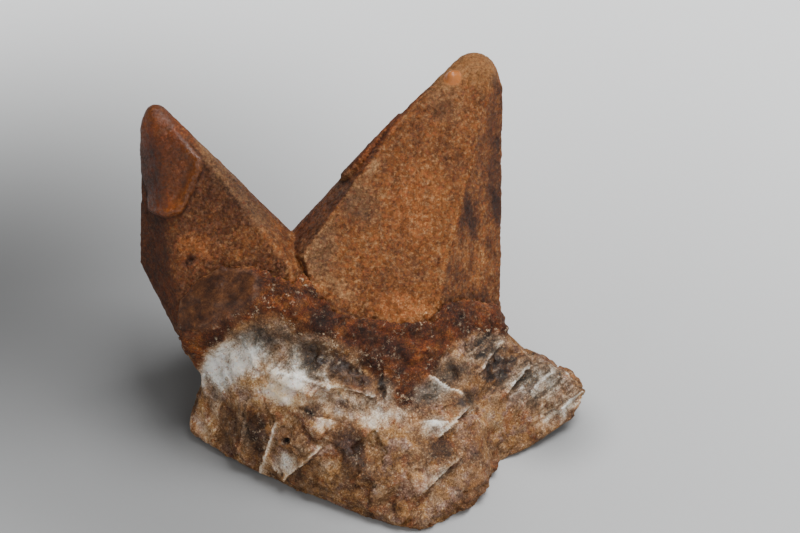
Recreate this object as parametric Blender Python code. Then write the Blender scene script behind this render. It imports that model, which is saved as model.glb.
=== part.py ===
"""Calcite specimen: two dog-tooth crystals grown together on a broken calcite base.

Metres, +Z up. The origin is on the resting face, under the middle of the base.
The broken front of the base faces -Y, and both crystals lean back and apart.
Each crystal is a scalenohedron, the dog-tooth form: six faces in three pairs round its long axis.
"""

import math

import bmesh
import bpy
from mathutils import Vector, noise

MM = 0.001
GAP = 0.3 * MM              # clearance between the crystals and the base that holds them
PAIR_ANGLE = 19.1           # degrees from the middle of a pair of faces to each of the two
RIDGE_WEAR = 0.25 * MM      # how far the ridges are rubbed down
FACE_ORDER = ((0, -1), (0, 1), (1, -1), (1, 1), (2, -1), (2, 1))

# Each crystal: its ideal point, the direction of its long axis, the turn of its first pair of
# faces from the viewer's side, the slope of the faces to the axis, and the small ways in which
# the six faces differ from the ideal form. hand is +1 or -1 for a crystal seen in the mirror.
RIGHT = {
    "apex": (18.7, 26.5, 69.9),
    "axis": (0.465, 0.401, 1.0),
    "hand": 1,
    "roll": 19.2,
    "slope": 18.7,
    "turns": (-1.1, 1.2, -0.9, 0.0, 3.2, -2.3),
    "tilts": (-0.5, -0.1, -0.3, 0.0, -1.0, 0.6),
    "shifts": (0.0, 0.0, 0.0, 0.0, 0.0, 3.4),
    "girdle": 55.0,
    "root_slope": 26.0,
    "root_shifts": (0.0, 0.0, 0.0, 0.0, 0.0, 0.0),
    "tip_wear": 13.8,
}
LEFT = {
    "apex": (-46.0, 16.5, 60.4),
    "axis": (-0.466, 0.391, 1.0),
    "hand": -1,
    "roll": 19.9,
    "slope": 20.1,
    "turns": (-1.1, 1.2, -0.3, 0.0, 3.8, -3.5),
    "tilts": (-1.2, 0.9, -0.1, 0.0, -0.7, 1.2),
    "shifts": (0.0, 0.0, 0.0, 0.0, 0.0, 1.6),
    "girdle": 30.6,
    "root_slope": 1.0,
    "root_shifts": (0.0, 0.0, 5.5, 5.5, 0.0, 0.0),
    "tip_wear": 6.4,
}
BLANK_SIZE = 90 * MM        # half the block that each crystal is cut from
TIP_RINGS = ((38, 9), (58, 7), (77, 4))     # rings of flats on a worn tip: their rise and count

# Planes that end the crystals inside the base: a point on the plane and its outward direction.
RIGHT_ROOT = (
    ((0.0, 0.0, 11.0), (0.0, 0.0, -1.0)),
    ((0.0, -13.0, 19.5), (0.0, -0.6, -0.8)),
)
LEFT_ROOT = (
    ((0.0, 0.0, 12.0), (0.0, 0.0, -1.0)),
    ((-36.0, -8.5, 15.0), (-0.5, -0.03, -0.87)),
    ((-26.0, -13.5, 28.0), (0.145, -0.632, -0.761)),
)

# Later growth on the crystals. Outlines lie on one face: millimetres across it and down from
# the ideal point, the down direction being the steepest way down the face.
CAP_THICKNESS = 0.6 * MM    # the smooth cap over the left point
CAP_FACE = 0
CAP_OUTLINE = (
    (2.0, -6.0), (3.1, 5.5), (3.6, 10.0), (5.0, 13.2), (6.2, 16.0), (5.9, 17.9), (4.4, 19.7),
    (2.7, 21.6), (0.7, 23.2), (-1.5, 24.2), (-3.7, 24.0), (-5.4, 22.9), (-5.9, 21.2), (-5.1, 18.6),
    (-5.1, 16.3), (-5.4, 14.5), (-9.0, 12.5), (-9.0, -6.0),
)
LEDGE_THICKNESS = 0.8 * MM  # the raised band along the edge of the right crystal
LEDGE_FACE = 5
LEDGE_OUTLINE = (
    (-2.0, 25.0), (3.0, 26.6), (5.4, 29.0), (6.8, 33.0), (7.4, 37.0), (6.4, 41.0), (3.0, 42.6),
    (-2.0, 43.0),
)
COAT_INSET = 0.15 * MM      # how far a coat stops short of the next faces of its crystal
OUTLINE_STEPS = 3           # straight bits between two points of a rounded outline
BEAD_PLACE = (9.3, 17.9, 61.0)
BEAD_RADIUS = 1.35 * MM

# The base: rough lumps, each the hull of a few corners, in millimetres.
LUMPS = {
    "broken_front": (
        (-39.0, -11.8, -1), (-33.6, -16.6, -1), (-26.6, -21.0, -1), (-16.4, -27.6, -1),
        (-8.4, -32.2, -1), (-1.6, -35.2, -1), (4.4, -37.2, -1), (8.3, -34.9, -1),
        (14.2, -30.6, -1), (17.0, -24.9, -1), (18.4, -19.8, -1), (18, 0, -1), (-36, 0, -1),
        (-39.0, -11, 2.8), (-37.8, -11.2, 5.8), (-37, -9.8, 10), (-35.8, -9.5, 14.6),
        (-26, -19.6, 12.5), (-14.3, -25, 12.5), (0, -29.6, 9.4), (8, -29, 9), (14, -24.5, 9),
        (-26.8, -14, 27.5), (-12.3, -15.5, 24), (0, -18.6, 16.3), (7, -16.5, 17.8),
        (9.7, -12, 21), (14, -4, 17), (-20, 0, 24),
    ),
    "bulge": (
        (-40.5, -8.1, 30.4), (-39.2, -12.3, 24.7), (-36.3, -6, 35), (-30.8, -5.7, 37.8), (-24.2, -7.7, 38.1),
        (-17.5, -10.5, 37), (-35.3, -10.1, 32.8), (-32.6, -10.9, 33.5), (-26.3, -12.2, 34.6),
        (-34.4, -13.6, 28.6), (-27, -14.5, 28.5), (-36, -13.2, 26), (-36.8, -11, 19),
        (-38.6, -5, 15.5), (-35.8, -9.6, 14.6), (-18, -14.5, 33.5), (-14, -15.5, 28),
        (-25, 4, 22), (-34, 2, 15),
    ),
    "crust_corner": (
        (-17.3, -7.8, 38.8), (-16.2, -10.4, 34.7), (-10, -12.1, 30.2), (-17.6, -10.5, 36),
        (-18, -14, 33.2), (-14, -15.2, 28), (-8, -15.5, 25), (-12.5, -13, 23.5),
        (-5.3, -15.8, 21), (-14, -4, 28), (-19, -5, 32),
    ),
    "crust_front": (
        (-9.7, -11.6, 31), (-4.4, -12, 28.5), (0, -11.7, 27), (5, -9.9, 27), (-4.4, -14.4, 26),
        (0, -15, 23), (5.3, -14, 22.2), (2, -18.9, 17.3), (0, -18.7, 16.3), (-6, -16, 21),
        (-12.3, -15.4, 24.5), (7, -16.5, 18), (7.5, -12.5, 22), (0, -4, 18), (-8, -4, 22),
    ),
    "crust_right": (
        (4.5, -9.9, 27.2), (6.6, -9.3, 28), (8.2, -6.6, 29.7), (11.7, -2.8, 27.5),
        (14.6, -0.2, 24.7), (16.9, 1.6, 21.5), (18.8, 2.8, 18.3), (12.7, -4.8, 20.6),
        (16.6, -1.2, 17.6), (18.6, 0, 15), (19.6, 4, 15), (20.3, -1.5, 17.8), (9.9, -10.5, 21.8),
        (7.2, -13.5, 20), (10, 4, 14), (4, -2, 20),
    ),
    "wing_root": (
        (9.7, -12.3, 22), (18.3, -5, 19.4), (20.7, -2, 17.2), (24.5, -4.6, 12.6), (23, -12, 7),
        (24.5, -14, -1), (18.2, -19.6, -1), (22, 6, 8), (4, 0, 10), (8, -20, 2), (7, -16.5, 17.5),
    ),
    "wing": (
        (16, -8, 17.5), (20.7, -3.5, 15.4), (27.2, -3.5, 10.4), (34.4, -4.4, 7.7), (34.9, -6, 5.2),
        (33.4, -8, 3.3), (28.6, -12, 1.5), (24.5, -14, -1), (18.2, -19.6, -1), (12, -15, 12),
        (22, 6, 8), (30, 3.5, 4.5), (26, 7, -1), (10, 0, 8),
    ),
    "back": (
        (-36, -5, -1), (-38, 4, -1), (-31, 17, -1), (-15, 29, -1), (10, 29, -1), (21, 14, -1),
        (18, -12, -1), (-36, 5, 13), (-30, 17, 13), (-17, 26, 14.5), (-5, 30, 15), (9, 27, 14.5),
        (17, 14, 13), (-30, -2, 15),
    ),
    "collar_right": (
        (18.2, 3, 17.5), (18.4, 9, 18), (16.5, 15, 19), (11, 23, 20), (13, 25, 10), (18.6, 13, 9),
        (20, 5, 9.5), (10, 10, 12), (12, 3, 14),
    ),
    "side_fill": (
        (17, -2, 17), (19.5, -1, 15), (19.8, 5, 12), (19, 9, 13), (18.4, 3, 17), (14, 0, 8),
        (22, 2, 6), (20, 10, 6), (12, 8, 6),
    ),
    "collar_back": (
        (10, 26, 20.5), (3, 30, 24), (-5, 32, 24.5), (-11, 31, 19), (8, 30, 9), (-13, 31, 9),
        (0, 20, 15), (-8, 20, 15),
    ),
    "collar_left": (
        (-39.5, 3, 20), (-40.5, 8, 22), (-38, 15, 22), (-30, 20, 21), (-22, 25, 16), (-38.5, 4, 8),
        (-36.5, 14, 8), (-27, 21, 8), (-25, 5, 15),
    ),
}
# Broken ledges on the base: both ends of the edge where it meets the skin, the outward direction
# there, then how far the edge stands out and how far the flat behind it runs, in millimetres.
# The wall of a ledge faces to the right of its edge.
LEDGES = {
    "step_upper": ((7.3, -24.0, 12.7), (12.5, -17.7, 13.8), (0.4, -0.5, 0.75), 1.3, 5.5),
    "step_lower": ((5.2, -31.0, 6.9), (10.1, -27.0, 9.4), (0.3, -0.72, 0.62), 1.1, 5.0),
    "ledge_left": ((-20.9, -24.4, 3.1), (-14.4, -25.2, 10.8), (-0.5, -0.83, 0.22), 1.1, 5.5),
    "ridge_left": ((-29.0, -19.3, 4.0), (-27.5, -17.7, 14.9), (-0.6, -0.76, 0.25), 0.9, 3.0),
    "ridge_middle": ((-25.4, -21.6, 2.3), (-22.3, -20.9, 12.9), (-0.45, -0.88, 0.12), 0.9, 2.6),
    "rim": ((-20.8, -18.6, 22.2), (-5.1, -19.9, 18.8), (0.0, -0.72, 0.69), 0.8, 4.0),
    "wing_bar": ((18.1, -13.1, 11.3), (23.8, -5.6, 14.2), (0.4, -0.68, 0.62), 0.8, 3.4),
    "wing_end": ((29.3, -10.2, 5.7), (33.2, -5.6, 7.2), (0.45, -0.65, 0.6), 0.8, 3.4),
    "back_low": ((-9.0, 30.4, 5.0), (3.0, 30.2, 12.5), (0.05, 0.98, 0.15), 1.0, 5.0),
    "back_left": ((-31.0, 17.2, 6.0), (-38.4, 9.0, 12.0), (-0.75, 0.62, 0.15), 1.0, 5.0),
}
LEDGE_ROOT = 3.0            # how deep a ledge is rooted in the base, in millimetres
# Chips broken out along the cleavages of calcite. The first edge runs up the front to the right,
# and the three edges stand evenly round the cleavage axis.
CLEAVAGE_AXIS = (0.62, -0.58, 0.53)
CLEAVAGE_EDGE = (0.77, 0.46, 0.45)
CLEAVAGE_ANGLE = 63.8       # degrees from the axis to each edge
CHIPS = {                   # the innermost corner, and the lengths along the three edges
    "chip_upper": ((-15.7, -20.4, 17.3), (6.0, 5.0, 5.0)),
    "chip_middle": ((-8.2, -25.8, 10.8), (6.0, 5.0, 5.0)),
    "chip_right": ((14.4, -24.5, 5.6), (6.0, 5.0, 5.0)),
    "chip_behind": ((15.2, 17.5, 9.0), (7.0, 6.0, 6.0)),
}
LUMP_GRAIN = 0.9 * MM       # cell of the mesh that the lumps are melted into
SOFTEN_STEPS = 3            # how often that mesh is smoothed
ROUGH_TRIANGLES = 6500      # what is left of it, resting face included
SWELL_SIZE = 0.11           # noise per millimetre along the base
SWELL_HEIGHT = 0.7 * MM
SWELL_FALL = 0.9            # how fast the finer noise fades
SWELL_OCTAVES = 3


def mm(values):
    """A point given in millimetres, in metres."""
    return Vector(values) * MM


def new_object(name, mesh):
    piece = bpy.data.objects.new(name, mesh)
    bpy.context.scene.collection.objects.link(piece)
    return piece


def discard(piece):
    mesh = piece.data
    bpy.data.objects.remove(piece, do_unlink=True)
    bpy.data.meshes.remove(mesh)


def apply_modifiers(piece):
    """Replace an object's mesh by what its modifiers make of it."""
    bpy.context.view_layer.update()
    graph = bpy.context.evaluated_depsgraph_get()
    mesh = bpy.data.meshes.new_from_object(piece.evaluated_get(graph))
    old = piece.data
    piece.modifiers.clear()
    piece.data = mesh
    bpy.data.meshes.remove(old)


def combine(piece, others, operation):
    """Join others to the piece, or cut them out of it, and use them up."""
    for other in others:
        step = piece.modifiers.new(operation.lower(), "BOOLEAN")
        step.operation = operation
        step.solver = "EXACT"
        step.object = other
        apply_modifiers(piece)
        discard(other)
    return piece


def axes_of(spec):
    """The long axis of a crystal, and the two directions across it that face angles start from."""
    axis = Vector(spec["axis"]).normalized()
    front = Vector((0, -1, 0))
    front = (front - front.dot(axis) * axis).normalized()
    side = front.cross(axis)
    if side.x < 0:
        side.negate()
    return axis, front, side * spec["hand"]


def face_plane(spec, index, lower=False):
    """Outward direction and reach of one of the six faces of the point, or of the hidden end."""
    axis, front, side = axes_of(spec)
    pair, half = FACE_ORDER[index]
    turn = math.radians(spec["roll"] + 120 * pair + half * PAIR_ANGLE + spec["turns"][index])
    around = math.cos(turn) * front + math.sin(turn) * side
    if not lower:
        slope = math.radians(spec["slope"] + spec["tilts"][index])
        outward = math.cos(slope) * around + math.sin(slope) * axis
        return outward, outward.dot(mm(spec["apex"])) + spec["shifts"][index] * MM
    slope = math.radians(spec["root_slope"])
    outward = -math.cos(slope) * around - math.sin(slope) * axis
    ridge = math.tan(math.radians(spec["slope"])) / math.cos(math.radians(60 - PAIR_ANGLE))
    radius = spec["girdle"] * ridge * math.cos(math.radians(PAIR_ANGLE))
    place = mm(spec["apex"]) - (axis * spec["girdle"] + around * radius) * MM
    return outward, outward.dot(place) + spec["root_shifts"][index] * MM


def cut_away(body, point, normal):
    """Cut off what lies beyond a plane and close the cut."""
    everything = list(body.verts) + list(body.edges) + list(body.faces)
    cut = bmesh.ops.bisect_plane(
        body, geom=everything, dist=1e-7, plane_co=point, plane_no=normal, clear_outer=True)
    rim = [item for item in cut["geom_cut"] if isinstance(item, bmesh.types.BMEdge)]
    if rim:
        bmesh.ops.edgeloop_fill(body, edges=rim)


def crystal(name, spec, root, grown=0.0, worn=True, raised=()):
    """A dog-tooth crystal cut from a block; grown moves every face outward.

    raised holds pairs of a face and how far that face alone is moved outward.
    """
    axis = axes_of(spec)[0]
    body = bmesh.new()
    bmesh.ops.create_cube(body, size=2 * BLANK_SIZE)
    bmesh.ops.translate(body, verts=body.verts, vec=mm(spec["apex"]) - axis * BLANK_SIZE / 2)
    extra = dict(raised)
    upper = []
    lower = []
    for index in range(len(FACE_ORDER)):
        outward, reach = face_plane(spec, index)
        upper.append((outward, reach + grown + extra.get(index, 0.0)))
        outward, reach = face_plane(spec, index, lower=True)
        lower.append((outward, reach + grown))
    for outward, reach in upper + lower:
        cut_away(body, outward * reach, outward)
    if worn:
        wear_ridges(body, upper)
        wear_ridges(body, lower)
    wear_tip(body, spec, grown)
    for point, normal in root:
        outward = Vector(normal).normalized()
        cut_away(body, mm(point) + outward * grown, outward)
    bmesh.ops.recalc_face_normals(body, faces=body.faces)
    mesh = bpy.data.meshes.new(name)
    body.to_mesh(mesh)
    body.free()
    return new_object(name, mesh)


def wear_ridges(body, faces):
    """Cut a narrow flat along the ridge between each two neighbours of the six faces."""
    for index, (outward, reach) in enumerate(faces):
        next_outward, next_reach = faces[(index + 1) % len(faces)]
        both = outward + next_outward
        ridge_reach = (reach + next_reach) / both.length
        both.normalize()
        cut_away(body, both * (ridge_reach - RIDGE_WEAR), both)


def wear_tip(body, spec, grown):
    """Round the point off to a ball that fits between the six faces."""
    axis, front, side = axes_of(spec)
    depth = spec["tip_wear"] * MM
    centre = mm(spec["apex"]) - axis * depth
    radius = depth * math.sin(math.radians(spec["slope"])) + grown
    for rise, count in TIP_RINGS:
        for step in range(count):
            turn = math.tau * (step + rise / 90) / count
            around = math.cos(turn) * front + math.sin(turn) * side
            outward = math.cos(math.radians(rise)) * around + math.sin(math.radians(rise)) * axis
            cut_away(body, centre + outward * radius, outward)


def rounded(outline):
    """A closed outline with its corners eased into curves."""
    points = []
    count = len(outline)
    for index in range(count):
        before, start, end, after = (Vector(outline[(index + step) % count]) for step in (-1, 0, 1, 2))
        for step in range(OUTLINE_STEPS):
            along = step / OUTLINE_STEPS
            pull = (end - before) * (along - 2 * along**2 + along**3)
            push = (after - start) * (along**3 - along**2)
            slide = start + (end - start) * (3 * along**2 - 2 * along**3)
            points.append(slide + (pull + push) / 2)
    return points


def overgrowth(name, spec, root, face, outline, thickness):
    """A thin coat on a crystal, inside an outline drawn on one of its faces."""
    axis = axes_of(spec)[0]
    outward = face_plane(spec, face)[0]
    down = -(axis - axis.dot(outward) * outward).normalized()
    across = outward.cross(down)
    if across.x < 0:
        across.negate()
    body = bmesh.new()
    loops = []
    for depth in (-BLANK_SIZE / 3, BLANK_SIZE / 3):
        loop = [
            body.verts.new(mm(spec["apex"]) + (across * x + down * y) * MM + outward * depth)
            for x, y in rounded(outline)
        ]
        loops.append(loop)
        body.faces.new(loop)
    bmesh.ops.bridge_loops(body, edges=[edge for edge in body.edges if edge.is_valid])
    bmesh.ops.recalc_face_normals(body, faces=body.faces)
    mesh = bpy.data.meshes.new(name)
    body.to_mesh(mesh)
    body.free()
    window = new_object(name, mesh)
    coated = crystal(name, spec, root, grown=-COAT_INSET, raised=((face, thickness + COAT_INSET),))
    return combine(coated, [window], "INTERSECT")


def bead():
    """A drop of calcite near the right point."""
    body = bmesh.new()
    bmesh.ops.create_icosphere(body, subdivisions=2, radius=BEAD_RADIUS)
    bmesh.ops.translate(body, verts=body.verts, vec=mm(BEAD_PLACE))
    mesh = bpy.data.meshes.new("bead")
    body.to_mesh(mesh)
    body.free()
    return new_object("bead", mesh)


def hull(name, corners):
    """The closed body that a stretched skin makes round a set of corners."""
    body = bmesh.new()
    for corner in corners:
        body.verts.new(mm(corner))
    skin = bmesh.ops.convex_hull(body, input=body.verts)
    inside = [item for item in skin["geom_interior"] if isinstance(item, bmesh.types.BMVert)]
    bmesh.ops.delete(body, geom=inside, context="VERTS")
    bmesh.ops.recalc_face_normals(body, faces=body.faces)
    mesh = bpy.data.meshes.new(name)
    body.to_mesh(mesh)
    body.free()
    return new_object(name, mesh)


def ledge(name, start, end, outward, rise, width):
    """A raised edge on the skin of the base, with a steep wall on one side of it."""
    out = Vector(outward).normalized()
    start = Vector(start)
    end = Vector(end)
    wall = (end - start).cross(out).normalized()
    corners = []
    for place in (start, end):
        corners.append(place + out * rise)
        corners.append(place + wall * rise - out * rise / 2)
        corners.append(place - out * LEDGE_ROOT)
        corners.append(place - wall * width - out * rise / 2)
        corners.append(place - wall * width - out * LEDGE_ROOT)
    return hull(name, corners)


def chip(name, corner, lengths):
    """A cleavage block, to be cut out of the base, that widens from its innermost corner."""
    axis = Vector(CLEAVAGE_AXIS).normalized()
    across = Vector(CLEAVAGE_EDGE)
    across = (across - across.dot(axis) * axis).normalized()
    lean = math.radians(CLEAVAGE_ANGLE)
    edges = []
    for step, length in enumerate(lengths):
        turn = math.tau * step / 3
        flat = math.cos(turn) * across + math.sin(turn) * axis.cross(across)
        edges.append((math.cos(lean) * axis + math.sin(lean) * flat) * length)
    corners = [
        Vector(corner) + a * edges[0] + b * edges[1] + c * edges[2]
        for a in (0, 1) for b in (0, 1) for c in (0, 1)
    ]
    return hull(name, corners)


def rough_base():
    """The lumps of the base melted into one body with a broken, pitted skin."""
    lumps = [hull(name, corners) for name, corners in LUMPS.items()]
    base = combine(lumps[0], lumps[1:], "UNION")
    melt = base.modifiers.new("melt", "REMESH")
    melt.mode = "VOXEL"
    melt.voxel_size = LUMP_GRAIN
    soften = base.modifiers.new("soften", "SMOOTH")
    soften.iterations = SOFTEN_STEPS
    apply_modifiers(base)
    for vertex in base.data.vertices:
        place = vertex.co / MM
        swell = noise.fractal(place * SWELL_SIZE, SWELL_FALL, 2.0, SWELL_OCTAVES)
        vertex.co += vertex.normal * SWELL_HEIGHT * swell
    thin = base.modifiers.new("thin", "DECIMATE")
    thin.ratio = ROUGH_TRIANGLES / (2 * len(base.data.polygons))
    apply_modifiers(base)
    body = bmesh.new()
    body.from_mesh(base.data)
    cut_away(body, Vector((0, 0, 0)), Vector((0, 0, -1)))
    bmesh.ops.triangulate(body, faces=body.faces)
    body.to_mesh(base.data)
    body.free()
    combine(base, [chip(name, *block) for name, block in CHIPS.items()], "DIFFERENCE")
    return combine(base, [ledge(name, *shape) for name, shape in LEDGES.items()], "UNION")


def drop_crumbs(piece):
    """Keep the largest connected body and remove loose slivers left by the cuts."""
    body = bmesh.new()
    body.from_mesh(piece.data)
    waiting = set(body.verts)
    groups = []
    while waiting:
        group = set()
        reached = [waiting.pop()]
        while reached:
            vertex = reached.pop()
            group.add(vertex)
            for edge in vertex.link_edges:
                other = edge.other_vert(vertex)
                if other in waiting:
                    waiting.discard(other)
                    reached.append(other)
        groups.append(group)
    groups.sort(key=len, reverse=True)
    for group in groups[1:]:
        bmesh.ops.delete(body, geom=list(group), context="VERTS")
    body.to_mesh(piece.data)
    body.free()


def finish(piece, name, colour, roughness):
    piece.name = name
    piece.data.name = name
    material = bpy.data.materials.new(name)
    material.use_nodes = True
    shader = material.node_tree.nodes["Principled BSDF"]
    shader.inputs["Base Color"].default_value = (*colour, 1.0)
    shader.inputs["Roughness"].default_value = roughness
    shader.inputs["Metallic"].default_value = 0.0
    piece.data.materials.clear()
    piece.data.materials.append(material)


def main():
    for leftover in list(bpy.data.objects):
        bpy.data.objects.remove(leftover, do_unlink=True)
    crystals = crystal("right", RIGHT, RIGHT_ROOT)
    growths = [
        bead(),
        overgrowth("ledge", RIGHT, RIGHT_ROOT, LEDGE_FACE, LEDGE_OUTLINE, LEDGE_THICKNESS),
        crystal("left", LEFT, LEFT_ROOT),
        overgrowth("cap", LEFT, LEFT_ROOT, CAP_FACE, CAP_OUTLINE, CAP_THICKNESS),
    ]
    combine(crystals, growths, "UNION")
    sockets = [
        crystal("right_socket", RIGHT, RIGHT_ROOT, grown=GAP, worn=False),
        crystal("left_socket", LEFT, LEFT_ROOT, grown=GAP, worn=False),
    ]
    matrix = combine(rough_base(), sockets, "DIFFERENCE")
    drop_crumbs(matrix)
    finish(crystals, "crystals", (0.33, 0.13, 0.045), 0.6)
    finish(matrix, "matrix", (0.45, 0.33, 0.24), 0.55)


main()
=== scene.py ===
"""Calcite specimen: the finished surfaces of the crystals and their base, with floor, light and camera.

Lengths are in millimetres inside the shaping code, and in metres where they reach Blender.
"""

import math

import bmesh
import bpy
import numpy as np
from mathutils import Matrix, Vector


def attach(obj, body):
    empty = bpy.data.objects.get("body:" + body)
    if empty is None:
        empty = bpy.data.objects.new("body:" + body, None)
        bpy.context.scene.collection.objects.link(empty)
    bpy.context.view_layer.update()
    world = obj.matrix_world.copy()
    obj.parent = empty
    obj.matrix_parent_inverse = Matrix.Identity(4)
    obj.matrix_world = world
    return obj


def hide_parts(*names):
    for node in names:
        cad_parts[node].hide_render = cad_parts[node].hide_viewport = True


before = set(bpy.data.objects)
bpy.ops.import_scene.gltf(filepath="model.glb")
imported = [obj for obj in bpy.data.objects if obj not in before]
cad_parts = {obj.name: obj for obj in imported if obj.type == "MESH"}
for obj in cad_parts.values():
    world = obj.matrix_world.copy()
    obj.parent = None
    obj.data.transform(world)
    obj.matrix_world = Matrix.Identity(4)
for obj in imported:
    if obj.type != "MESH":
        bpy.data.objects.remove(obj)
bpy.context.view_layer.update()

MM = 0.001

# ---------------------------------------------------------------- camera
PICTURE_SIZE = (800, 533)
LENS = 100.0
SENSOR = 36.0
ELEVATION = 40.0
DISTANCE = 400.0
TARGET = np.array((0.0, 0.0, 32.0))

LOOK = np.array((0.0, math.cos(math.radians(ELEVATION)), -math.sin(math.radians(ELEVATION))))
UP = np.array((0.0, math.sin(math.radians(ELEVATION)), math.cos(math.radians(ELEVATION))))


def make_camera():
    camera = bpy.data.objects.new("camera", bpy.data.cameras.new("camera"))
    bpy.context.scene.collection.objects.link(camera)
    camera.data.lens = LENS
    camera.data.sensor_width = SENSOR
    camera.data.clip_start = 0.01
    camera.data.clip_end = 20.0
    camera.location = Vector((TARGET - LOOK * DISTANCE) * MM)
    camera.rotation_euler = (math.radians(90 - ELEVATION), 0, 0)
    bpy.context.scene.camera = camera


def to_picture(points):
    """Where points in millimetres stand in the picture, in its pixels."""
    place = points - TARGET
    depth = DISTANCE + place @ LOOK
    scale = PICTURE_SIZE[0] * LENS / SENSOR / depth
    across = PICTURE_SIZE[0] / 2 + place[:, 0] * scale
    down = PICTURE_SIZE[1] / 2 - (place @ UP) * scale
    return np.stack((across, down), axis=1)


# ---------------------------------------------------------------- random fields on arrays of points
def scramble(cells, seed):
    """Three even random numbers from 0 to 1 for each whole-number cell."""
    x, y, z = (cells[..., axis].astype(np.uint64) for axis in range(3))
    state = x * np.uint64(73856093) ^ y * np.uint64(19349663) ^ z * np.uint64(83492791)
    state = state ^ np.uint64(seed * 2654435761 % 2**32)
    values = []
    for turn in range(3):
        state = (state ^ (state >> np.uint64(15))) * np.uint64(2246822519 + 2 * turn)
        state = (state ^ (state >> np.uint64(13))) * np.uint64(3266489917)
        state = state ^ (state >> np.uint64(16))
        values.append((state & np.uint64(0xFFFFFF)).astype(float) / 0xFFFFFF)
    return np.stack(values, axis=-1)


def swell(points, size, octaves=3, seed=1):
    """Soft noise from about -1 to 1, with bumps of the given size in millimetres."""
    total = np.zeros(len(points))
    weight = 1.0
    for octave in range(octaves):
        place = points / size * 2**octave + 37.2 * octave
        corner = np.floor(place).astype(np.int64)
        part = place - corner
        part = part * part * (3 - 2 * part)
        value = np.zeros(len(points))
        for step in np.ndindex(2, 2, 2):
            share = np.prod(np.where(step, part, 1 - part), axis=1)
            value += share * scramble(corner + np.array(step), seed + octave)[:, 0]
        total += weight * (2 * value - 1)
        weight *= 0.5
    return total * 1.2 / (2 - 2 * weight)


def crumbs(points, size, seed=1):
    """The nearest of scattered centres: the way from it, its three random numbers, and the edge
    distance, which is 0 between two crumbs."""
    place = points / size
    home = np.floor(place).astype(np.int64)
    best = np.full(len(points), 9.0)
    second = np.full(len(points), 9.0)
    away = np.zeros_like(points)
    lot = np.zeros_like(points)
    for step in np.ndindex(3, 3, 3):
        cell = home + np.array(step) - 1
        random = scramble(cell, seed)
        offset = place - cell - random
        distance = np.linalg.norm(offset, axis=1)
        nearer = distance < best
        second = np.where(nearer, best, np.minimum(second, distance))
        away[nearer] = offset[nearer]
        lot[nearer] = scramble(cell, seed + 50)[nearer]
        best = np.where(nearer, distance, best)
    return away * size, lot, (second - best) * size


def smooth(values, low, high):
    """0 below low, 1 above high, and an even curve between."""
    part = np.clip((values - low) / (high - low), 0, 1)
    return part * part * (3 - 2 * part)


# ---------------------------------------------------------------- shaping
# The cosine at which the skin starts to face the camera, and the one from which it fully does.
FACING = (-0.05, 0.2)


class Surface:
    """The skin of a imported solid, made fine enough to shape, as arrays in millimetres."""

    def __init__(self, name, node, remesh, fillings=(), filling_radius=0.0):
        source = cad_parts[node]
        mesh = source.data.copy()
        body = bmesh.new()
        body.from_mesh(mesh)
        for place in fillings:
            there = Matrix.Translation(Vector(place) * MM)
            bmesh.ops.create_icosphere(body, subdivisions=2, radius=filling_radius * MM, matrix=there)
        body.to_mesh(mesh)
        body.free()
        self.piece = bpy.data.objects.new(name, mesh)
        self.piece.matrix_world = source.matrix_world
        bpy.context.scene.collection.objects.link(self.piece)
        modifier = self.piece.modifiers.new("fine", "REMESH")
        for key, value in remesh.items():
            setattr(modifier, key, value)
        bpy.context.view_layer.update()
        graph = bpy.context.evaluated_depsgraph_get()
        fine = bpy.data.meshes.new_from_object(self.piece.evaluated_get(graph))
        self.piece.modifiers.clear()
        self.piece.data = fine
        fine.name = name
        bpy.data.meshes.remove(mesh)
        self.mesh = fine
        self.points = self.read(fine.vertices, "co", 3) / MM
        self.edges = self.read(fine.edges, "vertices", 2).astype(np.int64)
        self.links = np.bincount(self.edges.ravel(), minlength=len(self.points))[:, None]

    @staticmethod
    def read(items, key, width):
        values = np.empty(len(items) * width, dtype=np.int32 if key == "vertices" else np.float32)
        items.foreach_get(key, values)
        return values.reshape(-1, width).astype(float)

    def write(self):
        self.mesh.vertices.foreach_set("co", (self.points * MM).astype(np.float32).ravel())
        self.mesh.update()

    def normals(self):
        self.write()
        return self.read(self.mesh.vertex_normals, "vector", 3)

    def average(self, values, times):
        """Each value moved half way to the mean of its neighbours, again and again."""
        flat = values.ndim == 1
        values = values[:, None] if flat else values
        first, other = self.edges.T
        for _ in range(times):
            sums = []
            for column in values.T:
                forward = np.bincount(first, column[other], len(values))
                sums.append(forward + np.bincount(other, column[first], len(values)))
            total = np.stack(sums, axis=1)
            values = (values + total / np.maximum(self.links, 1)) / 2
        return values[:, 0] if flat else values

    def push(self, height):
        """Move each point out along its normal, by its own height in millimetres."""
        self.points += self.normals() * height[:, None]

    def even_out(self, share, times):
        """Move each point towards the average of its neighbourhood, by its own share of the way."""
        self.points += share[:, None] * (self.average(self.points, times) - self.points)

    def pixels(self):
        return to_picture(self.points)

    def facing(self):
        """1 where the skin faces the camera, 0 where it faces away."""
        return smooth(-(self.normals() @ LOOK), *FACING)

    def mark(self, **marks):
        """Keep named values for each point of the mesh, for its material to read."""
        for name, values in marks.items():
            attribute = self.mesh.attributes.new(name, "FLOAT", "POINT")
            attribute.data.foreach_set("value", np.clip(values, 0, 1).astype(np.float32))

    def dress(self, node, material):
        """Let the skin stand for its solid, with a material of its own."""
        self.mesh.polygons.foreach_set("use_smooth", np.ones(len(self.mesh.polygons), dtype=bool))
        self.mesh.materials.clear()
        self.mesh.materials.append(material)
        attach(self.piece, "root")
        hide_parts(node)
        return self.piece


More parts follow.
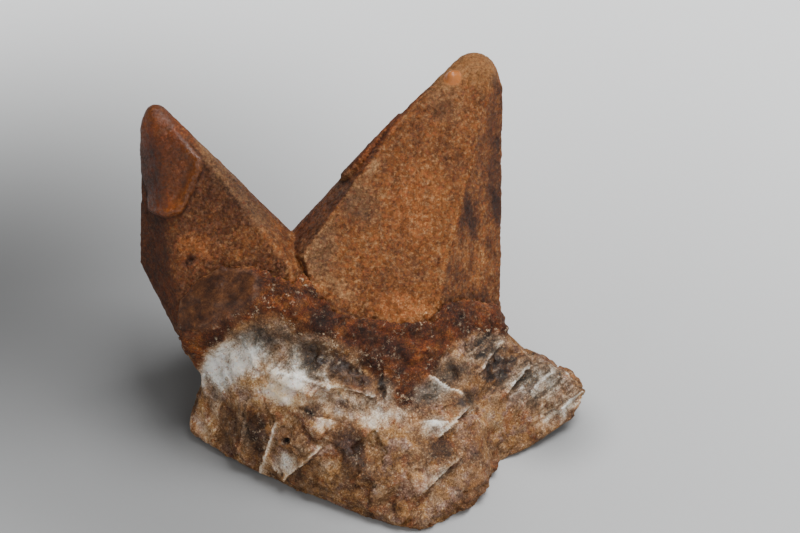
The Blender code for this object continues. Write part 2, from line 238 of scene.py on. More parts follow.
def spot(pixels, ellipses, soft=0.35):
    """1 inside any of the ellipses (x, y, half width, half height, turn in degrees), 0 outside."""
    value = np.zeros(len(pixels))
    for x, y, wide, high, turn in ellipses:
        way = pixels - (x, y)
        cos, sin = math.cos(math.radians(turn)), math.sin(math.radians(turn))
        along = (way[:, 0] * cos - way[:, 1] * sin) / wide
        over = (way[:, 0] * sin + way[:, 1] * cos) / high
        value = np.maximum(value, smooth(-np.hypot(along, over), -1 - soft, -1 + soft))
    return value


def line(pixels, path):
    """Distance in pixels from a path of points."""
    path = np.array(path, dtype=float)
    nearest = np.full(len(pixels), 1e9)
    for start, end in zip(path[:-1], path[1:]):
        side = end - start
        way = pixels - start
        along = np.clip(way @ side / (side @ side), 0, 1)
        nearest = np.minimum(nearest, np.linalg.norm(way - along[:, None] * side, axis=1))
    return nearest


def inside(pixels, outline):
    """Distance in pixels from an outline, above 0 inside it."""
    outline = np.array((*outline, outline[0]), dtype=float)
    within = np.zeros(len(pixels), dtype=bool)
    for start, end in zip(outline[:-1], outline[1:]):
        side = end - start
        way = pixels - start
        crosses = (start[1] > pixels[:, 1]) != (end[1] > pixels[:, 1])
        rise = side[1] if side[1] else 1e-9
        within ^= crosses & (way[:, 0] < side[0] * way[:, 1] / rise)
    nearest = line(pixels, outline)
    return np.where(within, nearest, -nearest)


# ---------------------------------------------------------------- crystals
# Each patch is x, y, half width, half height, turn in degrees and change, in the picture's pixels.
# The outlines, paths, rows and columns are in its pixels too.
RIGHT_TONES = (
    (405, 308, 26, 14, 0, 0.15), (394, 126, 8, 5, 50, 0.10), (425, 215, 26, 50, 12, 0.07),
    (372, 250, 34, 22, 20, 0.02), (440, 95, 16, 28, 25, -0.10), (357, 200, 14, 26, 35, -0.15),
    (322, 250, 14, 24, -10, -0.14), (318, 285, 12, 8, 40, 0.10), (481, 62, 17, 15, 0, -0.03),
    (492, 130, 9, 34, 0, -0.09), (470, 218, 5, 20, 10, -0.22), (497, 200, 6, 22, 0, -0.16),
    (478, 265, 12, 22, 0, 0.18), (485, 232, 8, 8, 0, 0.08), (430, 285, 12, 10, 0, 0.05),
)
RIGHT_GREYS = (
    (355, 195, 15, 26, 35, 0.85), (322, 250, 14, 30, -10, 0.80), (373, 168, 10, 4, 50, 0.9),
    (445, 98, 15, 28, 25, 0.35), (340, 288, 14, 7, -40, 0.5), (303, 250, 5, 10, 0, 0.6),
)
RIGHT_REDS = (
    (394, 126, 9, 5, 50, 0.9), (370, 148, 22, 6, 47, 0.9), (348, 165, 8, 6, 45, 0.6),
    (412, 205, 22, 40, 0, 0.32), (402, 305, 26, 14, 0, 0.55),
)
BAND_OUTLINE = (
    (400, 112), (386, 122), (352, 156), (338, 166), (334, 176), (350, 178), (362, 166), (380, 148),
    (394, 134), (404, 122),
)
LEFT_TONES = (
    (195, 248, 18, 14, 0, 0.17), (166, 203, 16, 11, 0, 0.10), (240, 248, 26, 14, 30, 0.11),
    (275, 240, 14, 18, 30, 0.08), (214, 190, 14, 30, 35, -0.03), (234, 190, 8, 40, 42, -0.14),
    (170, 160, 18, 26, 0, -0.03), (190, 260, 6, 4, 30, -0.28), (166, 128, 12, 12, 0, 0.07),
    (146, 132, 6, 16, 0, 0.16), (153, 240, 12, 60, 0, -0.06),
)
LEFT_GREYS = ((228, 180, 10, 32, 40, 0.8), (213, 158, 6, 16, 42, 0.9), (255, 215, 9, 20, 42, 0.5))
LEFT_REDS = (
    (165, 125, 20, 26, 0, 0.5), (170, 160, 26, 40, 0, 0.5), (165, 203, 16, 12, 0, 0.7),
    (195, 248, 20, 15, 0, 0.4),
)
BEVEL_STREAKS = (((196, 138), (225, 172), (262, 222)), ((206, 158), (222, 178), (248, 206)))
CAP_OUTLINE = (
    (162, 96), (172, 116), (176, 130), (189, 144), (200, 157), (202, 167), (198, 179), (193, 193),
    (186, 205), (181, 212), (166, 217), (157, 214), (150, 209), (149, 192), (145, 179), (141, 170),
    (130, 150), (136, 96),
)
RIDGE_LINE = ((489, 84), (483, 132), (465, 186), (457, 217), (447, 253), (436, 308))
# Where the crystals meet the base, in front.
SUTURE = (
    (303, 262), (310, 290), (345, 312), (375, 325), (400, 330), (437, 316), (446, 299), (465, 295),
    (480, 297),
)
PITS = ((190, 259, 2.6, 2.2, 0), (186, 263, 1.8, 1.6, 0))

# The rows and columns of the picture over which parts of the cap set in. Its rim is at the right of
# the columns, and on both sides below the low rows.
CAP_STEP_ROWS = (112, 145)
CAP_SHADE_ROWS = (135, 150)
CAP_RIM_ROWS = (138, 155)
CAP_RIM_COLUMNS = (165, 176)
CAP_RIM_LOW_ROWS = (192, 206)

# Places and heights in millimetres. The tips' heights are measured from a slanting plane.
BEAD_PLACE = np.array((9.3, 17.9, 61.0))
BEAD_RADIUS = 1.5
TIP_HEIGHTS = (54.0, 57.0)
TIP_SLANT = 0.1
GOLDEN_HEIGHTS = (57.5, 61.5)
# The plane that parts the left crystal from the right one: where it crosses a height, and its lean.
PARTING = (-20.5, -18.5)
PARTING_HEIGHT = 40
PARTING_LEAN = 0.25

# Faces coloured apart from the rest, and the cosines over which a normal comes to count as theirs: the
# right side face for its darker mottling, which is partly painted shade, and the left-facing strip and the
# left crystal's left face for painted shade.
RIGHT_SIDE_NORMAL = np.array((0.78, -0.58, 0.24))
RIGHT_STRIP_NORMAL = np.array((-0.71, 0.02, 0.71))
LEFT_SIDE_NORMAL = np.array((-0.79, -0.55, 0.27))
SIDE_LIKENESS = (0.93, 0.98)
STRIP_LIKENESS = (0.90, 0.97)

# The crystals' relief, in millimetres.
FACE_SWELL = 0.10
GRAIN_RELIEF = 0.10
CRUMB_RELIEF = 0.10
CHIP_DEPTH = 0.30
CAP_STEP = 0.42
CAP_RIM = 0.34
CAP_SWELL = 0.25
BAND_HEIGHT = 0.55
PIT_DEPTH = 0.6

# How light the crystals are, from 0 for the dark end of their colours to 1 for the light end.
RIGHT_TONE = 0.585
LEFT_TONE = 0.455
CRYSTAL_GRAIN = {"mode": "SHARP", "octree_depth": 8, "scale": 0.68, "use_remove_disconnected": True}


def patches(pixels, table, soft=0.6):
    """The sum of the changes of a table of patches at each pixel."""
    total = np.zeros(len(pixels))
    for *ellipse, change in table:
        total += change * spot(pixels, (ellipse,), soft)
    return total


def waver(skin, size, amount, seed):
    """The skin's pixels, led astray by noise, so that a patch has a natural edge."""
    return skin.pixels() + amount * np.stack(
        [swell(skin.points, size, 4, seed), swell(skin.points, size, 4, seed + 7)], axis=1)


def shape_crystals():
    """The two crystals, with their coat, the cap, the band and the bead."""
    skin = Surface("crystal_pair", "crystals", CRYSTAL_GRAIN)
    skin.points = skin.average(skin.points, 1)
    near_cap = smooth(-np.abs(inside(skin.pixels(), CAP_OUTLINE)), -10, -5) * skin.facing()
    skin.even_out(near_cap, 12)
    tips = smooth(skin.points[:, 2] - TIP_SLANT * skin.points[:, 0], *TIP_HEIGHTS)
    skin.even_out(tips, 10)
    points = skin.points.copy()
    exact = skin.pixels()
    pixels = waver(skin, 3.0, 4.0, 11)
    nearly = exact + 0.35 * (pixels - exact)
    front = skin.facing()
    normals = skin.normals()
    right = smooth(points[:, 0] - PARTING_LEAN * (points[:, 2] - PARTING_HEIGHT), *PARTING)
    left = 1 - right
    edge = smooth(((points - skin.average(points, 30)) * normals).sum(axis=1), 0.10, 0.35)

    cap_reach = inside(nearly, CAP_OUTLINE)
    cap_side = left * smooth(skin.average(-(normals @ LOOK), 12), 0.10, 0.35)
    cap = smooth(cap_reach, -1.0, 0.8) * cap_side
    rim = smooth(cap_reach, -3.0, 2.0) * (1 - smooth(cap_reach, 4, 12)) * cap_side
    rim *= smooth(exact[:, 1], *CAP_RIM_ROWS)
    rim *= np.maximum(smooth(exact[:, 0], *CAP_RIM_COLUMNS), smooth(exact[:, 1], *CAP_RIM_LOW_ROWS))
    band = smooth(inside(nearly, BAND_OUTLINE), -1.5, 1.5) * right * front
    band *= smooth(normals @ RIGHT_STRIP_NORMAL, 0.0, 0.4)
    bead = smooth(-np.linalg.norm(points - BEAD_PLACE, axis=1), -BEAD_RADIUS - 0.3, -BEAD_RADIUS)
    side = smooth(normals @ RIGHT_SIDE_NORMAL, *SIDE_LIKENESS) * right
    strip = smooth(normals @ RIGHT_STRIP_NORMAL, *STRIP_LIKENESS) * right
    left_side = smooth(normals @ LEFT_SIDE_NORMAL, *SIDE_LIKENESS) * left
    clean = np.maximum(cap, bead)
    # Painted shade: a dark line along the seam where the crystals meet the base, in front.
    seam_shade = smooth(-line(exact, SUTURE), -2.2, -0.6) * front

    loose = smooth(-cap_reach, -1.5, 1.5) * (1 - bead)
    relief = FACE_SWELL * swell(points, 6.0, 3, seed=3)
    relief += GRAIN_RELIEF * swell(points, 1.4, 3, seed=21) * (0.3 + 0.7 * loose)
    _, lot, between = crumbs(points, 1.1, seed=9)
    relief += (CRUMB_RELIEF * lot[:, 0] * smooth(between, 0.0, 0.35) - CRUMB_RELIEF / 2) * loose
    chips = smooth(swell(points, 2.2, 3, seed=23), 0.0, 0.7)
    relief -= CHIP_DEPTH * edge * chips * loose * (1 - near_cap)
    relief += CAP_STEP * smooth(cap_reach, -2.5, 1.5) * cap_side * smooth(exact[:, 1], *CAP_STEP_ROWS)
    relief += CAP_RIM * rim * (0.9 + 0.8 * swell(points, 3.0, 2, seed=5)) + BAND_HEIGHT * band
    relief += CAP_SWELL * cap * swell(points, 4.5, 2, seed=6)
    relief -= PIT_DEPTH * spot(exact, PITS) * front
    skin.push(relief)
    skin.even_out(0.6 * smooth(-np.abs(cap_reach), -7, -3) * cap_side, 3)
    skin.write()

    def on_crystals(right_table, left_table):
        """The sum of both crystals' patches, each on its own crystal and only in front."""
        return (patches(pixels, right_table) * right + patches(pixels, left_table) * left) * front

    tone = RIGHT_TONE * right + LEFT_TONE * left
    tone += on_crystals(RIGHT_TONES, LEFT_TONES)
    blotch = smooth(swell(points * (1, 1, 0.5), 2.2, 4, seed=33), -0.2, 0.6)
    # Painted shade: the left-facing strip and the left crystal's left face, turned from the light, are
    # darkened; the right side face is darkened in blotches, partly its own mottled colour and partly
    # painted shade. The band's darkening is its own colour.
    tone -= side * (0.20 * blotch + 0.02) + strip * 0.15 + band * 0.06
    tone -= 0.07 * left_side
    # Painted highlight: a lighter line along the right crystal's ridge between its main and right faces.
    ridge_highlight = smooth(-line(exact, RIDGE_LINE), -2.5, -0.8)
    tone += 0.06 * edge * (1 - clean) + 0.10 * ridge_highlight * right * front
    streak = np.maximum(*(smooth(-line(nearly, path), -5, -1) for path in BEVEL_STREAKS)) * left * front
    cap_shade = smooth(-np.abs(cap_reach + 1.8), -1.8, -0.4) * cap_side
    cap_shade *= smooth(exact[:, 1], *CAP_SHADE_ROWS)
    tone += 0.04 * streak - 0.15 * seam_shade - 0.14 * cap_shade
    tone += (1 - front) * 0.12 * swell(points, 9.0, 3, seed=35)
    tone += 0.05 * bead - 0.06 * cap + 0.12 * rim * cap
    grey = on_crystals(RIGHT_GREYS, LEFT_GREYS)
    grey += 0.8 * streak + (1 - front) * 0.5 * smooth(swell(points, 7.0, 3, seed=37), 0.1, 0.8)
    # The strip and the left crystal's left face are reddened to give their painted shade a warm colour; the
    # red patches are the coat's own colour.
    red = 0.45 * strip + 0.5 * left_side + on_crystals(RIGHT_REDS, LEFT_REDS)
    golden = smooth(points[:, 2] + 1.5 * swell(points, 3.0, 3, seed=39), *GOLDEN_HEIGHTS)

    skin.mark(tone=tone, grey=grey, red=red, gloss=np.maximum(cap * (0.6 + 0.4 * rim), bead),
              gold=np.maximum(0.4 * bead, 0.7 * golden * right), bead=bead)
    return skin.dress("crystals", coat_material())


# ---------------------------------------------------------------- base
MATRIX_GRAIN = {"mode": "VOXEL", "voxel_size": 0.41 * MM}
# A narrow hollow is left as it is up to the first depth, and filled from the second one on.
HOLLOW_DEPTHS = (0.45, 0.9)
CLEAVAGE_FACES = np.array(((-0.092, -0.607, 0.789), (0.591, -0.782, -0.200), (0.826, 0.150, 0.543)))
CLEAVAGE_EDGES = np.array(((0.765, 0.464, 0.446), (-0.409, -0.504, 0.761), (0.464, -0.727, -0.505)))
TO_EDGES = np.linalg.inv(CLEAVAGE_EDGES)
BULGE_OUTLINE = (
    (170, 310), (178, 290), (197, 272), (225, 261), (252, 266), (266, 277), (268, 292), (256, 312),
    (244, 330), (222, 345), (200, 352), (180, 345),
)
# The solid's wall is thinner than the mesh's cells along this line, so it's backed from behind.
THIN_WALL = (
    (-36.6, -11.2, 25.2), (-31.5, -11.7, 26.6), (-26.4, -12.4, 28.8), (-20.0, -12.8, 30.0),
    (-15.0, -12.8, 31.0),
)
THIN_BACKING = 1.6
BULGE_FOOT = (
    (150, 345), (185, 330), (215, 322), (250, 306), (262, 280), (320, 290), (320, 370), (150, 370),
)
BULGE_RIM = ((176, 300), (184, 284), (200, 271), (225, 262), (250, 267))
CRUST_OUTLINE = (
    (160, 250), (303, 250), (345, 300), (400, 322), (440, 310), (447, 290), (470, 285), (512, 300),
    (516, 338), (500, 333), (470, 335), (450, 350), (434, 366), (420, 386), (411, 402), (404, 398),
    (394, 384), (376, 370), (352, 350), (326, 340), (300, 328), (280, 318), (258, 314), (240, 320),
    (228, 334), (210, 348), (206, 372), (180, 360), (160, 300),
)
WING_OUTLINE = (
    (458, 350), (470, 334), (492, 328), (512, 336), (545, 356), (586, 378), (590, 398), (574, 418),
    (545, 426), (520, 404), (492, 396), (474, 384),
)
BASE_TONES = (
    (232, 360, 32, 19, 15, 0.34), (215, 383, 12, 22, 10, 0.16), (285, 376, 26, 10, -15, 0.18),
    (262, 385, 36, 16, -10, 0.16), (330, 392, 40, 6, -14, 0.20), (256, 338, 17, 9, -10, -0.08),
    (312, 356, 16, 20, -30, -0.12), (297, 367, 8, 17, 8, 0.20), (345, 372, 30, 13, -25, -0.24),
    (350, 350, 26, 9, -25, -0.10), (285, 330, 22, 9, 20, -0.04), (294, 399, 32, 12, -8, 0.26),
    (360, 412, 34, 14, -10, 0.12), (428, 391, 16, 11, 10, -0.08), (386, 384, 9, 10, 0, -0.14),
    (455, 372, 14, 10, 30, -0.16), (204, 424, 15, 26, 10, 0.22), (270, 285, 16, 9, 15, -0.12),
    (330, 460, 24, 18, 0, 0.10), (228, 425, 10, 24, 5, -0.10), (253, 428, 9, 26, 10, -0.24),
    (290, 440, 22, 14, 0, -0.06), (350, 446, 14, 20, 15, -0.27), (352, 405, 20, 8, -10, -0.10),
    (310, 411, 11, 6, 20, -0.36), (380, 440, 24, 26, 0, 0.08), (300, 468, 28, 8, 30, -0.12),
    (370, 470, 30, 16, 20, -0.10), (400, 420, 40, 14, 0, 0.10), (440, 450, 15, 13, 0, -0.24),
    (412, 480, 14, 10, 0, 0.12), (466, 402, 11, 9, 40, -0.28), (440, 505, 44, 12, 20, 0.02),
    (498, 366, 17, 14, 42, -0.30), (490, 352, 5, 10, -45, -0.16), (482, 345, 16, 9, 35, -0.18),
    (480, 316, 14, 8, 10, 0.07), (540, 380, 22, 13, 38, -0.03), (566, 390, 12, 12, 35, 0.02),
    (550, 414, 18, 8, 20, 0.24), (500, 418, 44, 14, -5, 0.14), (284, 465, 11, 10, 0, 0.32),
    (323, 426, 9, 6, 0, 0.30), (436, 428, 12, 8, 0, 0.06), (438, 472, 13, 10, 45, 0.02),
    (468, 409, 6, 3, 0, 0.30), (196, 340, 8, 12, 0, 0.10),
)
BASE_COOLS = (
    (232, 360, 34, 20, 15, 0.85), (285, 345, 44, 20, -15, 0.42), (300, 376, 34, 12, -15, 0.60),
    (410, 400, 30, 14, 5, 0.30), (386, 384, 10, 12, 0, 0.60), (450, 375, 18, 14, 30, 0.55),
    (283, 463, 12, 8, 0, 0.65), (436, 428, 13, 9, 0, 0.55), (540, 382, 26, 16, 38, 0.85),
    (566, 390, 14, 14, 35, 0.30), (556, 412, 18, 10, 30, 0.55), (490, 345, 24, 14, 35, 0.60),
    (515, 374, 26, 14, 38, 0.45), (498, 366, 14, 12, 40, -0.5), (355, 408, 44, 14, -8, 0.45),
    (428, 391, 18, 12, 10, 0.55), (297, 367, 10, 18, 8, 0.7), (255, 340, 20, 10, -10, 0.25),
    (315, 352, 20, 18, -30, 0.2), (215, 383, 14, 22, 10, 0.40), (245, 425, 6, 26, 8, 0.40),
    (438, 472, 13, 10, 45, 0.35), (466, 402, 14, 12, 40, 0.35),
)
CLEAR_PATCHES = (
    (256, 340, 17, 9, -10, 0.9), (345, 372, 26, 10, -25, 0.8), (314, 358, 14, 16, -30, 0.8),
    (428, 391, 14, 9, 10, 0.7), (498, 366, 14, 12, 40, 0.9), (566, 390, 10, 10, 35, 0.45),
    (350, 446, 9, 16, 15, 0.6), (466, 402, 8, 7, 40, 0.6), (228, 425, 7, 18, 5, 0.35),
    (386, 380, 5, 6, 0, 0.6),
)
RUST_PATCHES = (
    (412, 385, 18, 34, 0, 0.75), (408, 385, 5, 14, 0, 0.3), (206, 425, 16, 34, 8, 0.40),
    (335, 430, 14, 16, 0, 0.30), (412, 482, 14, 10, 0, 0.45), (478, 498, 20, 14, 30, 0.60),
    (300, 435, 28, 10, 0, 0.35), (565, 414, 14, 5, 30, 0.5), (350, 446, 15, 20, 15, 0.40),
    (470, 455, 14, 30, 20, 0.25), (245, 470, 30, 12, 25, 0.25),
)
STREAK_PATCHES = ((250, 360, 50, 26, 10, 0.45), (300, 378, 36, 14, -15, 0.5), (410, 402, 24, 12, 5, 0.4))
FLECK_PATCHES = (
    (300, 352, 36, 24, -20, 0.8), (286, 286, 28, 17, 30, 0.9), (365, 362, 18, 12, 10, 0.7),
    (285, 435, 50, 40, 0, 0.4), (350, 455, 20, 14, 0, 0.4), (388, 388, 14, 14, 0, 0.6),
    (490, 350, 24, 20, 40, 0.5), (440, 330, 60, 14, 0, 0.2), (420, 490, 60, 20, 10, 0.2),
)
# Each broken step: its path, which side is lit (1 is to the left of the way along it), how far the
# light side fades, its light and its dark.
BROKEN_STEPS = (
    (((274, 424), (268, 446), (259, 470)), 1, 6, 0.50, 0.30),
    (((247, 402), (243, 428), (237, 454)), 1, 7, 0.16, 0.22),
    (((286, 479), (298, 469), (320, 449)), 1, 5, 0.45, 0.25),
    (((279, 375), (318, 387), (371, 396)), 1, 5, 0.45, 0.15),
    (((427, 490), (442, 476), (457, 462)), 1, 10, 0.26, 0.40),
    (((440, 438), (452, 424), (470, 408)), 1, 8, 0.26, 0.50),
    (((430, 375), (448, 386), (466, 396)), -1, 5, 0.40, 0.12),
    (((508, 392), (518, 378), (528, 368)), 1, 5, 0.28, 0.28),
    (((530, 392), (538, 382), (548, 372)), -1, 9, 0.22, 0.14),
    (((562, 408), (574, 398), (587, 386)), -1, 6, 0.35, 0.15),
    (((470, 352), (482, 340), (497, 331)), -1, 4, 0.35, 0.20),
    (((480, 372), (488, 358), (500, 346)), 1, 3, 0.35, 0.25),
    (((300, 412), (318, 416), (333, 421)), -1, 8, 0.30, 0.25),
    (((206, 372), (212, 392), (206, 405)), -1, 6, 0.15, 0.15),
    (((222, 402), (219, 425), (214, 446)), -1, 6, 0.16, 0.16),
    (((384, 372), (380, 384), (386, 396)), 1, 4, 0.40, 0.35),
    (((428, 420), (440, 424), (450, 422)), -1, 8, 0.30, 0.20),
    (((340, 356), (352, 362), (372, 378)), 1, 3, 0.20, 0.20),
    (((266, 446), (276, 462), (280, 476)), -1, 4, 0.30, 0.20),
    (((330, 388), (324, 372), (330, 360)), 1, 3, 0.25, 0.20),
)
LIT_EDGE = 1.4
DARK_EDGE = 2.5
DARK_PIT = (286, 441, 3.2, 2.8, 0)

# The sizes of what the stone breaks into, and the base's relief, in millimetres. Blocks and splinters
# have a height of their own, and this is the share of it that is kept.
BLOCK_SIZE = 5.0
BLOCK_HEIGHT = 0.60
BLOCK_SHARE = 0.65
SPLINTER_SIZE = 2.2
SPLINTER_HEIGHT = 0.32
SPLINTER_SHARE = 0.25
STEEPEST = 0.45             # the least cosine between the skin and a cleavage face that it breaks along
BROKEN_GRAIN = 0.10
WING_GROOVES = 0.40
CRUST_SWELL = 0.55
CRUST_GRAIN = 0.30
CRUST_CRUMBS = 0.35
CRUST_CRUMB_SIZE = 1.7
BULGE_SWELL = 0.20
BULGE_RIM_HEIGHT = 0.10
STEP_RISE = 0.55
STEP_CUT = 0.9
DARK_PIT_DEPTH = 1.2
SUTURE_RISE = 0.25
BACK_CRUST_HEIGHTS = (14, 20)   # where the crust sets in behind, and where it's whole
# The foot of the base is smaller by a share, towards its middle, from this height down.
BASE_MIDDLE = (-6.0, -3.0)
UNDERCUT = 0.042
UNDERCUT_HEIGHT = 2.7

# How light the base is, in the same measure as the crystals, and the strength of its patches.
BASE_TONE = 0.51
TONE_STRENGTH = 1.25
CLEAR_STRENGTH = 0.6


def step_marks(pixels, steps):
    """How much each pixel is in the light, and in the dark, of broken steps."""
    light = np.zeros(len(pixels))
    dark = np.zeros(len(pixels))
    for path, lit, fade, bright, deep in steps:
        distance = line(pixels, path)
        first, last = np.array(path[0], float), np.array(path[-1], float)
        along = (last - first) / np.linalg.norm(last - first)
        way = pixels - first
        across = (along[0] * way[:, 1] - along[1] * way[:, 0]) * -lit
        on_light = smooth(across, -0.7, 0.7)
        glow = 0.6 * np.exp(-1.2 * distance / fade) + 0.7 * np.exp(-distance / LIT_EDGE)
        light = np.maximum(light, bright * glow * on_light)
        dark = np.maximum(dark, deep * np.exp(-distance / DARK_EDGE) * (1 - on_light))
    return light, dark


def broken_relief(points, normals, size, height, seed):
    """Blocks bounded by cleavage planes: how far each point is from its block's facet."""
    place = points + 0.25 * size * swell(points, size * 1.5, 2, seed)[:, None]
    away, lot, _ = crumbs(place @ TO_EDGES, size, seed)
    away = away @ CLEAVAGE_EDGES
    slopes = normals @ CLEAVAGE_FACES.T
    pick = slopes.argmax(axis=1)
    other = (lot[:, 0] * 3).astype(int)
    too_steep = np.take_along_axis(slopes, other[:, None], 1)[:, 0] < STEEPEST
    face = CLEAVAGE_FACES[np.where(too_steep, pick, other)]
    level = np.maximum((face * normals).sum(axis=1), STEEPEST)
    plane = -(face * away).sum(axis=1) / level + (lot[:, 1] - 0.5) * height
    return np.clip(plane, -height, height)


def thin_places():
    """Points just behind the base's thin wall in front of the crystals' roots."""
    path = np.array(THIN_WALL)
    for start, end in zip(path[:-1], path[1:]):
        steps = max(int(np.linalg.norm(end - start) / (0.5 * THIN_BACKING)), 1)
        for step in range(steps):
            yield start + (end - start) * step / steps


def shape_matrix():
    """The broken base, with its crust, the glassy swelling and the wing."""
    skin = Surface("broken_base", "matrix", MATRIX_GRAIN, thin_places(), THIN_BACKING)
    skin.points = skin.average(skin.points, 2)
    even = skin.average(skin.points, 25)
    hollow = ((even - skin.points) * skin.normals()).sum(axis=1)
    filled = smooth(skin.average(hollow, 4), *HOLLOW_DEPTHS)[:, None]
    skin.points += filled * (even - skin.points)
    points = skin.points.copy()
    normals = skin.normals()
    front = skin.facing()
    back = 1 - front
    exact = skin.pixels()
    pixels = waver(skin, 2.5, 3.5, 31)
    nearly = exact + 0.3 * (pixels - exact)

    ragged = 10 * swell(points, 3.5, 4, seed=43)
    crust = smooth(inside(pixels, CRUST_OUTLINE) + ragged, -5, 6) * front
    back_crust = smooth(points[:, 2] + 2.5 * swell(points, 6, 3, seed=41), *BACK_CRUST_HEIGHTS)
    crust = np.maximum(crust, back_crust * back)
    bulge = smooth(inside(nearly, BULGE_OUTLINE), -2, 11) * front
    rim = smooth(-line(pixels, BULGE_RIM), -9, -3) * bulge
    bulge *= smooth(-inside(pixels, BULGE_FOOT), -16, 12)
    crust *= 1 - bulge
    wing = smooth(inside(nearly, WING_OUTLINE), -3, 4) * front
    light, dark = step_marks(nearly, BROKEN_STEPS)
    light, dark = light * front, dark * front
    pit = spot(exact, (DARK_PIT,), 0.4) * front
    broken = 1 - np.maximum(crust, bulge)
    above_floor = smooth(points[:, 2], 0.05, 0.8)

    blocks = broken_relief(points, normals, BLOCK_SIZE, BLOCK_HEIGHT, seed=61)
    splinters = broken_relief(points, normals, SPLINTER_SIZE, SPLINTER_HEIGHT, seed=62)
    relief = broken * (BLOCK_SHARE * blocks * (1 - 0.5 * wing) + SPLINTER_SHARE * splinters)
    relief += broken * BROKEN_GRAIN * swell(points, 1.2, 3, seed=63)
    relief += WING_GROOVES * wing * swell(points @ TO_EDGES / (6.0, 1.0, 1.4), 1.0, 2, seed=64)
    _, lot, between = crumbs(points, CRUST_CRUMB_SIZE, seed=77)
    rough = CRUST_SWELL * swell(points, 2.6, 4, seed=71) + CRUST_GRAIN * swell(points, 1.1, 2, seed=72)
    relief += crust * (rough + CRUST_CRUMBS * lot[:, 0] * smooth(between, 0.0, 0.5) - CRUST_GRAIN / 2)
    relief += bulge * (BULGE_SWELL * swell(points, 7.0, 2, seed=73) + BULGE_RIM_HEIGHT * rim)
    relief += STEP_RISE * light - STEP_CUT * dark - DARK_PIT_DEPTH * pit
    relief += SUTURE_RISE * smooth(-line(exact, SUTURE), -5, -1) * crust * front
    skin.push(relief * above_floor)
    skin.points[:, 2] = np.maximum(skin.points[:, 2], 0)
    tuck = UNDERCUT * (1 - smooth(skin.points[:, 2], 0.0, UNDERCUT_HEIGHT))
    skin.points[:, :2] -= (skin.points[:, :2] - BASE_MIDDLE) * tuck[:, None]
    skin.write()

    rust = np.clip(crust + 0.75 * bulge + patches(pixels, RUST_PATCHES) * front, 0, 1)
    rust = np.maximum(rust, back * 0.7 * smooth(swell(points, 8, 3, seed=81), 0.0, 0.6))
    tone = np.full(len(points), BASE_TONE)
    tone += TONE_STRENGTH * patches(pixels, BASE_TONES) * front
    tone -= crust * (0.22 - 0.36 * swell(points, 3.5, 4, seed=82))
    veils = swell(points @ TO_EDGES / (4, 1, 1), 1.5, 3, seed=86)
    tone -= bulge * (0.24 + 0.10 * veils) - 0.12 * rim
    tone += back * 0.22 * swell(points, 6, 4, seed=83)
    tone += 0.10 * smooth(-line(pixels, SUTURE), -12, -4) * crust + 1.3 * light - dark - 0.5 * pit
    cool = patches(pixels, BASE_COOLS) * front + light + 0.45 * rim + 0.05 * bulge - 0.4 * crust
    cool += back * 0.5 * smooth(swell(points, 7, 3, seed=84), 0.15, 0.7) * (1 - crust)
    clear = CLEAR_STRENGTH * patches(pixels, CLEAR_PATCHES) * front * (1 - light) * (1 - 0.8 * crust)
    clear += back * 0.6 * smooth(swell(points, 5, 3, seed=85), 0.45, 0.7) * (1 - crust)
    border = smooth(-np.abs(inside(pixels, CRUST_OUTLINE)), -14, -3) * front
    fleck = 0.40 * broken + 0.30 * crust + border * 0.5 + patches(pixels, FLECK_PATCHES) * front
    streaky = np.maximum(wing, patches(pixels, STREAK_PATCHES) * front * (1 - crust))

    skin.mark(fleck=fleck * (1 - 0.8 * bulge), tone=tone, cool=cool, rust=rust, clear=clear,
              broken=broken, bulge=bulge, crust=crust, wing=streaky)
    return skin.dress("matrix", base_material())


# ---------------------------------------------------------------- materials
# Each ramp goes from the dark to the light of one kind of calcite, as linear colours.
RUST_RAMP = (
    (0.0, (0.007, 0.0020, 0.0006)), (0.25, (0.034, 0.0085, 0.0018)), (0.5, (0.095, 0.027, 0.0045)),
    (0.75, (0.245, 0.080, 0.0135)), (1.0, (0.52, 0.27, 0.10)),
)
STAIN_RAMP = (
    (0.0, (0.011, 0.0045, 0.002)), (0.25, (0.050, 0.020, 0.0075)), (0.5, (0.165, 0.076, 0.028)),
    (0.75, (0.42, 0.235, 0.105)), (1.0, (0.80, 0.62, 0.42)),
)
GREY_RAMP = (
    (0.0, (0.007, 0.006, 0.005)), (0.25, (0.036, 0.027, 0.018)), (0.5, (0.125, 0.095, 0.066)),
    (0.75, (0.38, 0.34, 0.285)), (1.0, (0.86, 0.84, 0.79)),
)
RED_RAMP = (
    (0.0, (0.008, 0.0015, 0.0005)), (0.25, (0.045, 0.0085, 0.0018)), (0.5, (0.125, 0.0245, 0.0040)),
    (0.75, (0.30, 0.070, 0.0120)), (1.0, (0.58, 0.25, 0.09)),
)
AMBER_RAMP = (
    (0.0, (0.014, 0.0045, 0.001)), (0.25, (0.070, 0.023, 0.0045)), (0.5, (0.21, 0.085, 0.018)),
    (0.75, (0.46, 0.24, 0.075)), (1.0, (0.78, 0.60, 0.36)),
)
PLUM_RAMP = (
    (0.0, (0.009, 0.004, 0.003)), (0.25, (0.040, 0.017, 0.012)), (0.5, (0.130, 0.066, 0.048)),
    (0.75, (0.38, 0.25, 0.20)), (1.0, (0.80, 0.70, 0.63)),
)
# Stains in the broken calcite: size in millimetres, seed, the noise they start at, strength, ramp.
BASE_HUES = (
    (3.0, 1.0, 0.47, 0.75, AMBER_RAMP), (2.4, 2.0, 0.52, 0.60, RED_RAMP),
    (3.4, 4.0, 0.52, 0.70, PLUM_RAMP),
)
COAT_FLECK = (0.31, 0.17, 0.085)
COAT_PORE = (0.030, 0.010, 0.004)
GOLD_DARK = (0.18, 0.066, 0.015)
GOLD_LIGHT = (0.38, 0.19, 0.065)
BEAD_COLOUR = (0.38, 0.125, 0.030)
BASE_FLECK = (0.48, 0.36, 0.235)
SMOKE_COLOUR = (0.60, 0.45, 0.33)
SMOKE_DENSITY = 350.0
SEE_THROUGH = 0.45          # how see-through the clearest places are, from 0 to 1


